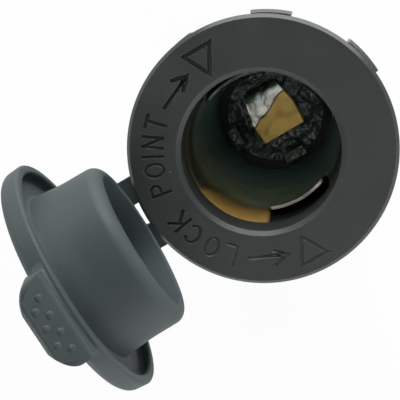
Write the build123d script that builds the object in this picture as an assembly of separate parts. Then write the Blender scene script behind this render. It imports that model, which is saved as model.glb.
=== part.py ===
import os
from math import cos, radians, sin, sqrt

from build123d import *

# Panel socket for 12 V plugs with a strapped sealing cap, all sizes in millimetres.
# The origin is the centre of the flange's back face, +Z leaves the mouth, the strap is on the -X side.

# Moulded body: flange, mouth and threaded barrel
flange_r = 18.25
flange_t = 2.5
flange_chamfer = 0.5
flange_back_round = 0.3
mouth_r = 10.8
mouth_depth = 5.5
mouth_chamfer = 0.6
thread_r = 14.0
thread_len = 22.0
thread_end_chamfer = 0.6
barrel_r = 13.2

# Ground sleeve, a drawn brass cup with two lanced catches
sleeve_r = 11.0
sleeve_wall = 0.5
sleeve_play = 0.1
catch_depth = 12.0
catch_reach = 1.1
catch_len = 7.0
catch_w = 9.6
catch_corner = 0.9
slit_w = 0.3

# Centre contact, clip and insulation at the bottom of the bore
contact_depth = 45.0
leaf_t = 0.5
leaf_rise = 4.1
pad_w = 8.6
pad_len = 7.4
pad_round = 0.3
curl_start = 4.0
curl_w = 6.4
taper_from_y = 0.6
clip_t = 0.4
clip_r = 9.0
finger_n = 4
finger_w = 4.0
finger_rise = 7.6
finger_lean = 1.5
finger_lip = 1.3
insulator_t = 1.5
insulator_play = 0.2
insulator_boss_r = 3.5
boss_play = 0.1

# Centre stud and its nut
stud_r = 2.0
stud_play = 0.15
stud_head_r = 3.0
stud_head_t = 1.0
stud_end = 1.5
stud_end_chamfer = 0.4
nut_thread_play = 0.05
spring_washer_r = 3.6
spring_washer_t = 1.0
spring_washer_slit = 0.6
spring_washer_slant = 30
stud_nut_flats = 7.0
stud_nut_t = 3.2

# Blade terminals and the ground rivet
blade_w = 6.3
blade_t = 0.8
blade_len = 10.2
blade_tip_chamfer = 1.0
blade_hole_r = 0.85
blade_hole_from_tip = 4.0
blade_bend_r = 0.6
positive_bend_x = 5.1
positive_foot_end_x = -4.0
negative_bend_x = -9.6
negative_foot_end_x = -4.9
rivet_x = -6.8
rivet_r = 1.4
rivet_head_r = 1.9
rivet_head_t = 0.8
rivet_play = 0.1

# Rear cover
spigot_len = 1.5
spigot_play = 0.1
cover_t = 2.2
cover_round = 0.6

# Cap ring, a flat rubber seal under the flange with the strap's tongue
ring_t = 1.2
ring_r = 17.2
ring_play = 0.15
strap_w = 11.0
strap_y = 0.6
strap_corner = 0.5
window_w = 3.4
window_from_x = 17.7
window_to_x = 19.85
window_round = 0.5

# Living hinge between tongue and cap
hinge_x = 21.7
web_half = 1.0
web_t = 0.7
open_angle = 81.2

# Sealing cap, modelled shut and then swung to its open rest position
lip_gap = 0.4
lip_r = 14.62
lip_round = 0.35
skirt_h = 2.7
skirt_top_r = 14.42
skirt_top_round = 1.2
lip_w = 1.2
groove_depth = 1.2
groove_round = 0.4
plug_len = 7.4
plug_root_r = 10.75
plug_waist_r = 10.34
plug_waist_z = 0.5
plug_waist_round = 25.0
plug_tip_r = 10.28
plug_wall = 1.8
plug_tip_round = 1.5
plug_edge_round = 0.25
hollow_round = 1.0
crown_t = 2.0
arm_clear = 0.35
arm_bend_r = 2.5
tab_w = 10.0
tab_heel = 0.87
tab_reach = 2.32
tab_rise = 1.9
tab_foot = 0.6
tab_shoulder = 1.2
tab_lobe = 2.7
tab_edge = 0.8
tab_twist = -2.4

# Panel washer and lock nut on the thread, run back to leave room for a panel
panel_gap = 3.0
washer_t = 1.0
washer_r = 17.0
washer_play = 0.2
nut_gap = 0.1
nut_play = 0.1
nut_r = 17.2
nut_h = 7.0
nut_chamfer = 0.6
lug_n = 8
lug_r = 18.9
lug_bevel = 0.45
lug_arc = 17.4
lug_first_angle = 11.5

# Levels along the axis
face_z = flange_t
shoulder_z = face_z - mouth_depth
pad_z = face_z - contact_depth
clip_top_z = pad_z - leaf_rise
insulator_z = clip_top_z - clip_t
floor_z = insulator_z - insulator_t
cover_z = floor_z - sleeve_wall
barrel_end_z = cover_z - spigot_len
cover_back_z = barrel_end_z - cover_t
foot_back_z = cover_back_z - blade_t
hinge_z = -ring_t / 2
lip_z = face_z + lip_gap
cap_top_z = lip_z + skirt_h
sleeve_out_r = sleeve_r + sleeve_wall
bore_r = sleeve_out_r + sleeve_play
stud_hole_r = stud_r + stud_play
strap_axis = Axis((-hinge_x, 0, hinge_z), (0, -1, 0))
full_turn = 360
low = (Align.CENTER, Align.CENTER, Align.MIN)
reach = 2 * flange_r


def disc(radius, z_low, z_high, x=0):
    return Pos(x, 0, z_low) * Cylinder(radius, z_high - z_low, align=low)


def outline(points, rounds):
    """Closed outline whose listed corners are rounded: rounds maps a corner to its radius."""
    face = make_face(Polyline(*points, close=True))
    for corner, radius in rounds.items():
        face = fillet(face.vertices().sort_by_distance((*corner, 0))[0], radius)
    return face


def turned(points, rounds, arc=full_turn):
    return revolve(Plane.XZ * outline(points, rounds), Axis.Z, revolution_arc=arc)


def bent_strip(path, thickness, width, y=0):
    """Strip of even thickness along a path in local X and Z, as wide as asked along Y."""
    return Pos(0, y) * extrude(Plane.XZ * trace(path, thickness), amount=width / 2, both=True)


def socket_body():
    points = [
        (mouth_r, face_z - mouth_chamfer),
        (mouth_r + mouth_chamfer, face_z),
        (flange_r - flange_chamfer, face_z),
        (flange_r, face_z - flange_chamfer),
        (flange_r, 0),
        (thread_r, 0),
        (thread_r, -thread_len),
        (barrel_r, -thread_len - thread_end_chamfer),
        (barrel_r, barrel_end_z),
        (bore_r, barrel_end_z),
        (bore_r, shoulder_z),
        (mouth_r, shoulder_z),
    ]
    return turned(points, {(flange_r, 0): flange_back_round})


def catch_tongue():
    """Strip of the sleeve's wall, lanced free and leaning into the bore on the -Y side."""
    free_z = face_z - catch_depth
    root_z = free_z - catch_len
    wall = (Circle(sleeve_out_r) - Circle(sleeve_r)) & Pos(0, -reach / 2) * Rectangle(catch_w, reach)
    lean = Vector(0, catch_reach, catch_len)
    tongue = extrude(Pos(0, 0, root_z) * wall, amount=lean.length, dir=lean)
    corners = [(-catch_w / 2, free_z), (catch_w / 2, free_z)]
    front = outline(
        [(-catch_w / 2, root_z), (catch_w / 2, root_z), corners[1], corners[0]],
        {corner: catch_corner for corner in corners},
    )
    return tongue & extrude(Plane.XZ * front, amount=reach)


def ground_sleeve():
    root_z = face_z - catch_depth - catch_len
    tube = disc(sleeve_out_r, cover_z, shoulder_z) - disc(sleeve_r, floor_z, shoulder_z)
    notch = Pos(0, 0, root_z) * Box(catch_w + 2 * slit_w, 2 * reach, catch_depth + catch_len, align=low)
    boss_hole = disc(insulator_boss_r + boss_play, cover_z, floor_z)
    rivet_hole = disc(rivet_r + rivet_play, cover_z, floor_z, rivet_x)
    tongue = catch_tongue()
    return tube - notch - boss_hole - rivet_hole + tongue + tongue.mirror(Plane.XZ)


def insulator_disc():
    plate = disc(sleeve_r - insulator_play, floor_z, insulator_z)
    boss = disc(insulator_boss_r, cover_z, floor_z)
    stud_hole = disc(stud_hole_r, cover_z, insulator_z)
    rivet_pocket = disc(rivet_head_r + insulator_play, floor_z, insulator_z, rivet_x)
    return plate + boss - stud_hole - rivet_pocket


def contact_clip():
    plate = disc(clip_r, insulator_z, clip_top_z) - disc(stud_hole_r, insulator_z, clip_top_z)
    foot_x = clip_r - clip_t
    lean_z = clip_top_z + finger_rise - finger_lip
    upright = FilletPolyline(
        (foot_x, insulator_z + clip_t / 2),
        (foot_x, clip_top_z + finger_rise / 2),
        (foot_x - finger_lean, lean_z),
        (foot_x, clip_top_z + finger_rise),
        radius=clip_t,
    )
    finger = bent_strip(upright, clip_t, finger_w)
    for place in PolarLocations(0, finger_n):
        plate += place * finger
    return plate


def centre_contact():
    root_z = clip_top_z + leaf_t / 2
    top_z = pad_z - leaf_t / 2
    root = Line((-pad_len / 2, root_z), (curl_start, root_z))
    curl = CenterArc((curl_start, (root_z + top_z) / 2), (top_z - root_z) / 2, -90, 180)
    pad = Line((curl_start, top_z), (-pad_len / 2, top_z))
    strip = extrude(Plane.YZ * trace(root + curl + pad, leaf_t), amount=pad_w / 2, both=True)
    free_end = strip.edges().filter_by(Axis.Z).group_by(Axis.Y)[0]
    blank = Polyline(
        (-pad_w / 2, -reach),
        (pad_w / 2, -reach),
        (pad_w / 2, taper_from_y),
        (curl_w / 2, curl_start + leaf_rise / 2),
        (-curl_w / 2, curl_start + leaf_rise / 2),
        (-pad_w / 2, taper_from_y),
        close=True,
    )
    leaf = fillet(free_end, pad_round) & extrude(make_face(blank), amount=reach + contact_depth, both=True)
    return leaf - disc(stud_hole_r, clip_top_z, clip_top_z + leaf_t)


def centre_stud():
    head_z = clip_top_z + leaf_t
    end_z = foot_back_z - spring_washer_t - stud_nut_t - stud_end
    shank = disc(stud_r, end_z, head_z)
    shank = chamfer(shank.edges().filter_by(GeomType.CIRCLE).sort_by(Axis.Z)[0], stud_end_chamfer)
    return shank + disc(stud_head_r, head_z, head_z + stud_head_t)


def blade_terminal(bend_x, foot_end_x, hole_x, hole_r):
    mid_z = cover_back_z - blade_t / 2
    tip_z = foot_back_z - blade_len
    path = FilletPolyline((foot_end_x, mid_z), (bend_x, mid_z), (bend_x, tip_z), radius=blade_bend_r)
    strip = bent_strip(path, blade_t, blade_w)
    tip_edges = strip.edges().filter_by(Axis.X).group_by(Axis.Z)[0]
    strip = chamfer(tip_edges, blade_tip_chamfer)
    eye = Pos(bend_x, 0, tip_z + blade_hole_from_tip) * Rot(0, 90, 0) * Cylinder(blade_hole_r, 2 * blade_t)
    return strip - eye - disc(hole_r, foot_back_z, cover_back_z, hole_x)


def positive_terminal():
    return blade_terminal(positive_bend_x, positive_foot_end_x, 0, stud_hole_r)


def negative_terminal():
    return blade_terminal(negative_bend_x, negative_foot_end_x, rivet_x, rivet_r + rivet_play)


def spring_washer():
    low_z = foot_back_z - spring_washer_t
    ring = disc(spring_washer_r, low_z, foot_back_z) - disc(stud_hole_r, low_z, foot_back_z)
    slit = Pos(0, spring_washer_r, low_z + spring_washer_t / 2) * Rot(0, spring_washer_slant, 0) * Box(
        spring_washer_slit, 2 * (spring_washer_r - stud_r / 2), 2 * spring_washer_t
    )
    return ring - slit


def stud_nut():
    high_z = foot_back_z - spring_washer_t
    hexagon = RegularPolygon(stud_nut_flats / 2, 6, major_radius=False)
    prism = extrude(Pos(0, 0, high_z) * hexagon, amount=-stud_nut_t)
    corner_r = stud_nut_flats / sqrt(3)
    bevel = (corner_r - stud_nut_flats / 2) / 2
    low_z = high_z - stud_nut_t
    domed = disc(corner_r, low_z, high_z)
    domed = chamfer(domed.edges().filter_by(GeomType.CIRCLE).sort_by(Axis.Z)[0], bevel)
    return (prism & domed) - disc(stud_r + nut_thread_play, low_z, high_z)


def negative_rivet():
    shank = disc(rivet_r, foot_back_z, floor_z, rivet_x)
    inner_head = disc(rivet_head_r, floor_z, floor_z + rivet_head_t, rivet_x)
    outer_head = disc(rivet_head_r, foot_back_z - rivet_head_t, foot_back_z, rivet_x)
    return shank + inner_head + outer_head


def rear_cover():
    points = [
        (0, cover_z),
        (bore_r - spigot_play, cover_z),
        (bore_r - spigot_play, barrel_end_z),
        (barrel_r, barrel_end_z),
        (barrel_r, cover_back_z),
        (0, cover_back_z),
    ]
    cover = turned(points, {(barrel_r, cover_back_z): cover_round})
    stud_hole = disc(stud_hole_r, cover_back_z, cover_z)
    return cover - stud_hole - disc(rivet_r + rivet_play, cover_back_z, cover_z, rivet_x)


def cap_ring():
    tongue_end = hinge_x - web_half
    tongue = Pos(-tongue_end / 2, strap_y) * Rectangle(tongue_end, strap_w)
    tongue = fillet(tongue.vertices().group_by(Axis.X)[0], strap_corner)
    window_len = window_to_x - window_from_x
    window = RectangleRounded(window_len, window_w, window_round)
    window = Pos(-window_from_x - window_len / 2, strap_y) * window
    flat = Circle(ring_r) + tongue - window - Circle(thread_r + ring_play)
    return extrude(flat, amount=-ring_t)


def hinge_web():
    arm_x = -hinge_x - web_half * sin(radians(open_angle))
    arm_z = hinge_z + web_half * cos(radians(open_angle))
    bend = TangentArc((web_half - hinge_x, hinge_z), (arm_x, arm_z), tangent=(-1, 0))
    return bent_strip(bend, web_t, strap_w - 2 * strap_corner, strap_y)


def cap_turning():
    tip_z = lip_z - plug_len
    groove_z = lip_z + groove_depth
    hollow_z = cap_top_z - crown_t
    groove_r = lip_r - lip_w
    tip_in_r = plug_tip_r - plug_wall
    root_in_r = plug_root_r - plug_wall
    points = [
        (0, cap_top_z),
        (skirt_top_r, cap_top_z),
        (lip_r, lip_z),
        (groove_r, lip_z),
        (groove_r, groove_z),
        (plug_root_r, groove_z),
        (plug_waist_r, plug_waist_z),
        (plug_tip_r, tip_z),
        (tip_in_r, tip_z),
        (root_in_r, hollow_z),
        (0, hollow_z),
    ]
    rounds = {
        (skirt_top_r, cap_top_z): skirt_top_round,
        (lip_r, lip_z): lip_round,
        (groove_r, lip_z): lip_round,
        (groove_r, groove_z): groove_round,
        (plug_root_r, groove_z): groove_round,
        (plug_waist_r, plug_waist_z): plug_waist_round,
        (plug_tip_r, tip_z): plug_tip_round,
        (tip_in_r, tip_z): plug_edge_round,
        (root_in_r, hollow_z): hollow_round,
    }
    return turned(points, rounds)


def cap_arm():
    mid_z = face_z + arm_clear + ring_t / 2
    path = FilletPolyline(
        (-hinge_x, hinge_z + web_half),
        (-hinge_x, mid_z),
        (lip_w / 2 - lip_r, mid_z),
        radius=arm_bend_r,
    )
    return bent_strip(path, ring_t, strap_w, strap_y)


def thumb_tab():
    root_x = skirt_top_r - lip_w
    heel_x, heel_z = lip_r + tab_heel, lip_z + tab_foot
    tip_x, tip_z = lip_r + tab_reach, cap_top_z + tab_rise / 2
    points = [
        (root_x, heel_z),
        (heel_x, heel_z),
        (tip_x, tip_z),
        (tip_x - tab_edge, cap_top_z + tab_rise),
        (root_x + tab_reach, cap_top_z),
        (root_x, cap_top_z),
    ]
    rounds = {
        (heel_x, heel_z): tab_edge,
        (tip_x, tip_z): tab_edge / 2,
        (tip_x - tab_edge, cap_top_z + tab_rise): tab_edge / 2,
        (root_x + tab_reach, cap_top_z): tab_edge,
    }
    side = extrude(Plane.XZ * outline(points, rounds), amount=tab_w, both=True)
    slope = Plane(origin=(heel_x, 0, heel_z), x_dir=(0, 1, 0), z_dir=(tip_z - heel_z, 0, heel_x - tip_x))
    lobe = Pos(0, tab_shoulder - reach / 2) * Rectangle(tab_w, reach)
    lobe += Pos(0, tab_shoulder) * Ellipse(tab_w / 2, tab_lobe)
    return Rot(0, 0, tab_twist) * (side & extrude(slope * lobe, amount=reach, both=True))


def sealing_cap():
    shut = cap_turning() + cap_arm() + thumb_tab()
    return shut.rotate(strap_axis, open_angle)


def panel_washer():
    high_z = -ring_t - panel_gap
    low_z = high_z - washer_t
    return disc(washer_r, low_z, high_z) - disc(thread_r + washer_play, low_z, high_z)


def lock_nut():
    high_z = -ring_t - panel_gap - washer_t - nut_gap
    low_z = high_z - nut_h
    hole_r = thread_r + nut_play
    points = [
        (hole_r + nut_chamfer, high_z),
        (nut_r, high_z),
        (nut_r, low_z),
        (hole_r + nut_chamfer, low_z),
        (hole_r, low_z + nut_chamfer),
        (hole_r, high_z - nut_chamfer),
    ]
    nut = turned(points, {(nut_r, low_z): nut_chamfer})
    root_r = (hole_r + nut_r) / 2
    lug_points = [
        (root_r, high_z),
        (lug_r - lug_bevel, high_z),
        (lug_r, high_z - lug_bevel),
        (lug_r, low_z + lug_bevel),
        (lug_r - lug_bevel, low_z),
        (root_r, low_z),
    ]
    lug = Rot(0, 0, lug_first_angle - lug_arc / 2) * turned(lug_points, {}, lug_arc)
    for place in PolarLocations(0, lug_n):
        nut += place * lug
    return nut


nodes = {
    "socket_body": socket_body,
    "ground_sleeve": ground_sleeve,
    "insulator_disc": insulator_disc,
    "contact_clip": contact_clip,
    "centre_contact": centre_contact,
    "centre_stud": centre_stud,
    "positive_terminal": positive_terminal,
    "spring_washer": spring_washer,
    "stud_nut": stud_nut,
    "negative_terminal": negative_terminal,
    "negative_rivet": negative_rivet,
    "rear_cover": rear_cover,
    "cap_ring": cap_ring,
    "hinge_web": hinge_web,
    "sealing_cap": sealing_cap,
    "panel_washer": panel_washer,
    "lock_nut": lock_nut,
}

os.makedirs("parts", exist_ok=True)
for name, build in nodes.items():
    export_step(build(), f"parts/{name}.step")
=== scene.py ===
import math

import bmesh
import bpy
from mathutils import Matrix, Vector


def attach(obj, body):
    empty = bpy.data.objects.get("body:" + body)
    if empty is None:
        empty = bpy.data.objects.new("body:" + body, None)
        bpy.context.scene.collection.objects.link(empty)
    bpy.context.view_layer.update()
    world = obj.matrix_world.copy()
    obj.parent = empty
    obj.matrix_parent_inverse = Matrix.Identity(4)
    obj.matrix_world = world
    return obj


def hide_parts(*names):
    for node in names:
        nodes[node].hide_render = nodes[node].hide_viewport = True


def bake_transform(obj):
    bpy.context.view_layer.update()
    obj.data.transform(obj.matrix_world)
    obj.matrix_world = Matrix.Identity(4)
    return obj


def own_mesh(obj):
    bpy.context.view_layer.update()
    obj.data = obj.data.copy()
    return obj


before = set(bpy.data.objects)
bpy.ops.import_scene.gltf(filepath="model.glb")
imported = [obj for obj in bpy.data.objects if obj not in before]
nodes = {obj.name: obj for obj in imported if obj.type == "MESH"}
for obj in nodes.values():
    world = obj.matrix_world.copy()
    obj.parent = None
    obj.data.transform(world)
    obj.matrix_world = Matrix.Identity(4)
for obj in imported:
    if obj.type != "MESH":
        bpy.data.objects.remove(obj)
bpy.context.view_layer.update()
scene = bpy.context.scene
mm = 0.001
mergeDistance = 1e-7  # metres, closer vertices of a CAD mesh are one
samePoint = 1e-6  # millimetres, a stroke whose ends are closer is a ring
print("frame loaded:", len(nodes), "nodes")


# small helpers for node trees

def addNode(tree, kind, inputs=None, **settings):
    node = tree.nodes.new(kind)
    for name, value in settings.items():
        setattr(node, name, value)
    for key, value in (inputs or {}).items():
        feed(tree, node.inputs[key], value)
    return node


def feed(tree, socket, value):
    if isinstance(value, bpy.types.NodeSocket):
        tree.links.new(value, socket)
    else:
        socket.default_value = value


def calc(tree, operation, first, second=0.0):
    node = addNode(tree, "ShaderNodeMath", {0: first, 1: second}, operation=operation)
    return node.outputs[0]


def ramp(tree, value, fromLow, fromHigh, toLow=0.0, toHigh=1.0, kind="SMOOTHSTEP"):
    inputs = {"Value": value, "From Min": fromLow, "From Max": fromHigh, "To Min": toLow, "To Max": toHigh}
    return addNode(tree, "ShaderNodeMapRange", inputs, interpolation_type=kind).outputs["Result"]


def mixColour(tree, share, first, second):
    node = addNode(tree, "ShaderNodeMix", data_type="RGBA")
    feed(tree, node.inputs[0], share)
    feed(tree, node.inputs[6], first)
    feed(tree, node.inputs[7], second)
    return node.outputs[2]


def mixValue(tree, share, first, second):
    return addNode(tree, "ShaderNodeMix", {0: share, 2: first, 3: second}).outputs[0]


def objectPlace(tree):
    return tree.nodes.new("ShaderNodeTexCoord").outputs["Object"]


def splitAxes(tree, vector):
    return addNode(tree, "ShaderNodeSeparateXYZ", {0: vector}).outputs


def noise(tree, place, scale, detail):
    inputs = {"Vector": place, "Scale": scale, "Detail": detail}
    return addNode(tree, "ShaderNodeTexNoise", inputs).outputs[0]


def dotProduct(tree, first, second):
    node = addNode(tree, "ShaderNodeVectorMath", {0: first, 1: second}, operation="DOT_PRODUCT")
    return node.outputs["Value"]


def axisDistance(tree, x, y):
    return calc(tree, "SQRT", calc(tree, "ADD", calc(tree, "MULTIPLY", x, x), calc(tree, "MULTIPLY", y, y)))


def levelDirection(azimuth):
    a = math.radians(azimuth)
    return math.cos(a), math.sin(a), 0.0


def rgba(colour):
    return (*colour, 1.0)


def newTree(name, kind, inputs, outputs):
    tree = bpy.data.node_groups.new(name, kind)
    for label, socketType, value in inputs:
        socket = tree.interface.new_socket(label, in_out="INPUT", socket_type=socketType)
        if value is not None:
            socket.default_value = value
    for label, socketType in outputs:
        tree.interface.new_socket(label, in_out="OUTPUT", socket_type=socketType)
    return tree, tree.nodes.new("NodeGroupInput").outputs, tree.nodes.new("NodeGroupOutput").inputs


# shared surface effects, each one a shader group

grainShape = {"fineDetail": 3.0, "broadDetail": 4.0, "toneRange": (0.3, 0.7)}
dustShape = {"chosenAbove": 0.8, "upward": (0.2, 0.9)}
rubShape = {"samples": 4, "edgeRange": (0.97, 0.72), "patchDetail": 3.0, "patchRange": (0.35, 0.7)}
drawnShape = {"streakDetail": 4.0, "roughRange": (0.3, 0.7), "stainDetail": 5.0, "stainRange": (0.42, 0.68)}


def makeGrainGroup(shape):
    inputs = [("Scale", "NodeSocketFloat", 8000.0), ("Blotch", "NodeSocketFloat", 150.0)]
    outputs = [("Height", "NodeSocketFloat"), ("Tone", "NodeSocketFloat")]
    tree, given, result = newTree("mouldGrain", "ShaderNodeTree", inputs, outputs)
    place = objectPlace(tree)
    feed(tree, result["Height"], noise(tree, place, given["Scale"], shape["fineDetail"]))
    broad = noise(tree, place, given["Blotch"], shape["broadDetail"])
    feed(tree, result["Tone"], ramp(tree, broad, *shape["toneRange"]))
    return tree


def makeDustGroup(shape):
    inputs = [("Scale", "NodeSocketFloat", 420.0), ("Size", "NodeSocketFloat", 0.07),
              ("Amount", "NodeSocketFloat", 1.0)]
    tree, given, result = newTree("dustSpecks", "ShaderNodeTree", inputs, [("Mask", "NodeSocketFloat")])
    cells = addNode(tree, "ShaderNodeTexVoronoi", {"Vector": objectPlace(tree), "Scale": given["Scale"]})
    few = addNode(tree, "ShaderNodeTexWhiteNoise", {"Vector": cells.outputs["Position"]}).outputs["Value"]
    speck = ramp(tree, cells.outputs["Distance"], given["Size"], 0.0)
    chosen = calc(tree, "GREATER_THAN", few, shape["chosenAbove"])
    facing = splitAxes(tree, tree.nodes.new("ShaderNodeTexCoord").outputs["Normal"])
    upward = ramp(tree, facing["Z"], *shape["upward"])
    mask = calc(tree, "MULTIPLY", calc(tree, "MULTIPLY", speck, chosen), upward)
    feed(tree, result["Mask"], calc(tree, "MULTIPLY", mask, given["Amount"]))
    return tree


def makeRubGroup(shape):
    inputs = [("Width", "NodeSocketFloat", 0.0004), ("Breakup", "NodeSocketFloat", 900.0)]
    tree, given, result = newTree("edgeRubAndHighlight", "ShaderNodeTree", inputs, [("Mask", "NodeSocketFloat")])
    rounded = addNode(tree, "ShaderNodeBevel", {"Radius": given["Width"]}, samples=shape["samples"])
    flat = tree.nodes.new("ShaderNodeNewGeometry").outputs["Normal"]
    edge = ramp(tree, dotProduct(tree, rounded.outputs[0], flat), *shape["edgeRange"])
    patchy = noise(tree, objectPlace(tree), given["Breakup"], shape["patchDetail"])
    feed(tree, result["Mask"], calc(tree, "MULTIPLY", edge, ramp(tree, patchy, *shape["patchRange"])))
    return tree


def makeDrawnGroup(shape):
    inputs = [("Around", "NodeSocketFloat", 60.0), ("Along", "NodeSocketFloat", 90.0),
              ("Stain", "NodeSocketFloat", 260.0)]
    outputs = [("Streak", "NodeSocketFloat"), ("Stain", "NodeSocketFloat")]
    tree, given, result = newTree("drawnMetal", "ShaderNodeTree", inputs, outputs)
    place = objectPlace(tree)
    axes = splitAxes(tree, place)
    angle = calc(tree, "ARCTAN2", axes["Y"], axes["X"])
    lines = addNode(tree, "ShaderNodeCombineXYZ", {
        "X": calc(tree, "MULTIPLY", calc(tree, "COSINE", angle), given["Around"]),
        "Y": calc(tree, "MULTIPLY", calc(tree, "SINE", angle), given["Around"]),
        "Z": calc(tree, "MULTIPLY", axes["Z"], given["Along"]),
    })
    feed(tree, result["Streak"], noise(tree, lines.outputs[0], 1.0, shape["streakDetail"]))
    stain = noise(tree, place, given["Stain"], shape["stainDetail"])
    feed(tree, result["Stain"], ramp(tree, stain, *shape["stainRange"]))
    return tree


grainGroup = makeGrainGroup(grainShape)
dustGroup = makeDustGroup(dustShape)
rubAndHighlightGroup = makeRubGroup(rubShape)
drawnGroup = makeDrawnGroup(drawnShape)
print("surface groups ready")


def placeGroup(tree, group, **values):
    node = addNode(tree, "ShaderNodeGroup", node_tree=group)
    for name, value in values.items():
        node.inputs[name].default_value = value
    return node.outputs


def newFinish(name):
    finish = bpy.data.materials.new(name)
    finish.use_nodes = True
    tree = finish.node_tree
    return finish, tree, tree.nodes["Principled BSDF"]


def addBump(tree, shader, height, strength, distance):
    bump = addNode(tree, "ShaderNodeBump", {"Strength": strength, "Distance": distance, "Height": height})
    feed(tree, shader.inputs["Normal"], bump.outputs[0])


def addLumps(tree, shader, place, look, share):
    lumps = noise(tree, place, look["lumpScale"], look["lumpDetail"])
    lumpy = addNode(tree, "ShaderNodeBump", {
        "Strength": look["lump"], "Distance": look["lumpHeight"],
        "Height": calc(tree, "MULTIPLY", lumps, share),
        "Normal": shader.inputs["Normal"].links[0].from_socket})
    feed(tree, shader.inputs["Normal"], lumpy.outputs[0])


def mouldedFinish(name, look):  # plastic or rubber: fine grain, uneven tone, lighter edges (on the body plastic partly a painted highlight), a little dust
    finish, tree, shader = newFinish(name)
    grain = placeGroup(tree, grainGroup, Scale=look["grainScale"], Blotch=look["blotchScale"])
    rubAndHighlight = placeGroup(tree, rubAndHighlightGroup, Width=look["rubWidth"], Breakup=look["rubBreakup"])["Mask"]
    dust = placeGroup(tree, dustGroup, Amount=look["dust"])["Mask"]
    tone = mixColour(tree, grain["Tone"], rgba(look["dark"]), rgba(look["light"]))
    # lighter edges: wear, and on the body plastic also a painted highlight
    wornAndLitEdges = mixColour(tree, rubAndHighlight, tone, rgba(look["rubAndHighlight"]))
    colour = mixColour(tree, dust, wornAndLitEdges, rgba(look["dustColour"]))
    low, high = look["roughness"]
    roughness = ramp(tree, grain["Tone"], 0.0, 1.0, low, high, "LINEAR")
    height = grain["Height"]
    if "grooveShadeColour" in look:  # engraved marks get a darker colour, painted shade in the grooves, and the flange's rim is polished
        place = splitAxes(tree, objectPlace(tree))
        radius = axisDistance(tree, place["X"], place["Y"])
        inRing = calc(tree, "MULTIPLY", calc(tree, "GREATER_THAN", radius, look["sunkFrom"]),
                      calc(tree, "LESS_THAN", radius, look["sunkTo"]))
        sunk = calc(tree, "MULTIPLY", inRing, ramp(tree, place["Z"], look["faceZ"], look["sunkZ"]))
        colour = mixColour(tree, sunk, colour, rgba(look["grooveShadeColour"]))
        rim = ramp(tree, radius, look["rimFrom"], look["rimTo"])
        roughness = mixValue(tree, rim, roughness, look["rimRoughness"])
        height = calc(tree, "MULTIPLY", height, ramp(tree, rim, 0.0, 1.0, 1.0, look["rimGrain"]))
    feed(tree, shader.inputs["Base Color"], colour)
    feed(tree, shader.inputs["Roughness"], roughness)
    shader.inputs["IOR"].default_value = look["ior"]
    addBump(tree, shader, height, look["bump"], look["bumpDistance"])
    return finish


def metalFinish(name, look):  # drawn or stamped metal: streaks along the draw, stain, painted shade with depth
    finish, tree, shader = newFinish(name)
    drawn = placeGroup(tree, drawnGroup, Around=look["around"], Along=look["along"], Stain=look["stainScale"])
    streaked = mixColour(tree, drawn["Streak"], rgba(look["dark"]), rgba(look["light"]))
    stainShare = calc(tree, "MULTIPLY", drawn["Stain"], look["stainShare"])
    colour = mixColour(tree, stainShare, streaked, rgba(look["stain"]))
    litSide = None
    if "deepZ" in look:  # painted shade: the colour turns to a shade colour towards the bottom of the bore
        place = objectPlace(tree)
        axes = splitAxes(tree, place)
        depth = axes["Z"]
        if "litAzimuth" in look:  # and the painted shade reaches higher away from the lit side
            side = dotProduct(tree, place, levelDirection(look["litAzimuth"]))
            rise = ramp(tree, side, *look["litReach"], look["shadeRise"], 0.0)
            depth = calc(tree, "SUBTRACT", depth, rise)
            litSide = ramp(tree, side, *look["litSideReach"])
        shadeMask = ramp(tree, depth, look["unshadedZ"], look["deepZ"])
        shadeColour = rgba(look["paintedShadeColour"])
        if "topShadeColour" in look:  # painted shade, darker towards the mouth
            below = ramp(tree, axes["Z"], *look["topReach"])
            shadeColour = mixColour(tree, below, rgba(look["topShadeColour"]), shadeColour)
        colour = mixColour(tree, shadeMask, colour, shadeColour)
        feed(tree, shader.inputs["Metallic"], ramp(tree, shadeMask, 0.0, 1.0, 1.0, look["deepMetal"]))
    else:
        shader.inputs["Metallic"].default_value = 1.0
    streakRough = ramp(tree, drawn["Streak"], *drawnShape["roughRange"], *look["roughness"], "LINEAR")
    stainRough = calc(tree, "MULTIPLY", drawn["Stain"], look["stainRoughness"])
    roughness = calc(tree, "ADD", streakRough, stainRough)
    if "deepRoughness" in look:  # the deep wall is never rubbed, so it keeps its drawn gloss
        roughness = mixValue(tree, shadeMask, roughness, look["deepRoughness"])
    if "rubAndHighlight" in look:  # sheared edges stay bright; on the sleeve they are lightened only on the lit side, a painted highlight
        rubAndHighlight = placeGroup(tree, rubAndHighlightGroup, Width=look["rubWidth"], Breakup=look["rubBreakup"])["Mask"]
        if litSide:  # painted highlight: the near catch's free lip is lightened on the lit side
            rubAndHighlight = calc(tree, "MULTIPLY", rubAndHighlight, litSide)
            across = calc(tree, "ABSOLUTE", axes["X"])
            paintedLipGlint = calc(tree, "MULTIPLY", calc(tree, "LESS_THAN", across, look["lipHalf"]), litSide)
            paintedLipGlint = calc(tree, "MULTIPLY", paintedLipGlint, ramp(tree, axes["Z"], *look["lipFoot"]))
            paintedLipGlint = calc(tree, "MULTIPLY", paintedLipGlint, ramp(tree, axes["Z"], *look["lipTop"]))
            rubAndHighlight = calc(tree, "MAXIMUM", rubAndHighlight, paintedLipGlint)
        colour = mixColour(tree, rubAndHighlight, colour, rgba(look["rubAndHighlight"]))
        roughness = mixValue(tree, rubAndHighlight, roughness, look["rubRoughness"])
    feed(tree, shader.inputs["Base Color"], colour)
    feed(tree, shader.inputs["Roughness"], roughness)
    addBump(tree, shader, drawn["Streak"], look["bump"], look["bumpDistance"])
    if "lump" in look:  # uneven sheet
        addLumps(tree, shader, place, look, shadeMask if "deepRoughness" in look else 1.0)
    return finish


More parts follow.
